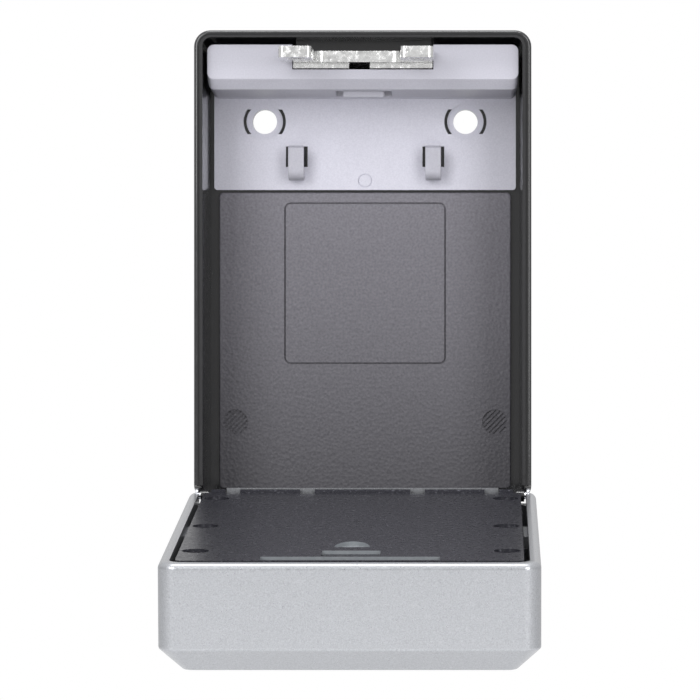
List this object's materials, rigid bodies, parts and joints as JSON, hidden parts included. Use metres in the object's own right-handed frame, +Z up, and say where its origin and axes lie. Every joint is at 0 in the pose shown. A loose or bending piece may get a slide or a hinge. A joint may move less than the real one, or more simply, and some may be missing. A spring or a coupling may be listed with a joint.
{
  "type": "key lock box",
  "caption": "Wall-mounted key lock box with a fold-down cover, combination dial, latch and strike, key hooks and a lined compartment, shown open.",
  "frame": {"origin": "centre of the flat rear face that lies on the wall", "axes": "+X right seen from the front, +Y into the wall, +Z up; the cover hangs toward -Y"},
  "size_m": [0.106, 0.1773, 0.1866],
  "materials": {
    "black_cast": "gloss black paint on a zinc casting",
    "silver_paint": "silver-grey metallic paint on a zinc casting",
    "light_plastic": "fine-grained light lavender-grey",
    "dark_liner": "leather-grained dark grey",
    "zinc": "bright bare zinc casting",
    "black_satin": "satin black",
    "steel": "plated steel",
    "dark_steel": "blackened steel"
  },
  "bodies": {
    "wall_body": {"housing": "black_cast", "hook_panel": "light_plastic", "back_liner": "dark_liner", "key_hook_left": "light_plastic", "key_hook_right": "light_plastic", "strike_plate": "zinc", "strike_screw_left": "steel", "strike_screw_right": "steel", "hinge_pin_left": "steel", "hinge_pin_right": "steel"},
    "cover": {"door_shell": "silver_paint", "door_back_plate": "black_satin", "dial_shaft": "steel", "detent_spring": "steel", "dial_bezel": "black_satin", "latch_spring_left": "steel", "latch_spring_right": "steel", "door_screw_1": "dark_steel", "door_screw_2": "dark_steel", "door_screw_3": "dark_steel", "door_screw_4": "dark_steel", "door_screw_5": "dark_steel", "door_screw_6": "dark_steel"},
    "dial_1": {"dial_wheel_1": "black_satin", "dial_cam_1": "zinc"},
    "dial_2": {"dial_wheel_2": "black_satin", "dial_cam_2": "zinc"},
    "dial_3": {"dial_wheel_3": "black_satin", "dial_cam_3": "zinc"},
    "dial_4": {"dial_wheel_4": "black_satin", "dial_cam_4": "zinc"},
    "latch": {"latch_slide": "zinc", "release_slider": "black_satin"},
    "shutter": {"weather_cover": "black_satin"},
    "code_change": {"code_change_slider": "black_satin"}
  },
  "joints": [
    {"name": "door_hinge", "type": "hinge", "parent": "wall_body", "child": "cover", "pos_m": [0, -0.035, -0.0702], "axis": [-1, 0, 0], "range_deg": [0, 96.1]},
    {"name": "dial_1_turn", "type": "hinge", "parent": "cover", "child": "dial_1", "pos_m": [-0.0093, -0.12273, -0.09808], "axis": [1, 0, 0], "continuous": true},
    {"name": "dial_2_turn", "type": "hinge", "parent": "cover", "child": "dial_2", "pos_m": [-0.0031, -0.12273, -0.09808], "axis": [1, 0, 0], "continuous": true},
    {"name": "dial_3_turn", "type": "hinge", "parent": "cover", "child": "dial_3", "pos_m": [0.0031, -0.12273, -0.09808], "axis": [1, 0, 0], "continuous": true},
    {"name": "dial_4_turn", "type": "hinge", "parent": "cover", "child": "dial_4", "pos_m": [0.0093, -0.12273, -0.09808], "axis": [1, 0, 0], "continuous": true},
    {"name": "latch_release", "type": "slide", "parent": "cover", "child": "latch", "axis": [0, 0.9943, 0.1063], "range_m": [0, 0.005], "stiffness_N_per_m": 400, "springref_m": -0.006, "deforming": ["latch_spring_left", "latch_spring_right"]},
    {"name": "shutter_slide", "type": "slide", "parent": "cover", "child": "shutter", "axis": [0, -0.9943, -0.1063], "range_m": [0, 0.0396]},
    {"name": "code_change_slide", "type": "slide", "parent": "cover", "child": "code_change", "axis": [0, -0.9943, -0.1063], "range_m": [0, 0.0035]}
  ]
}
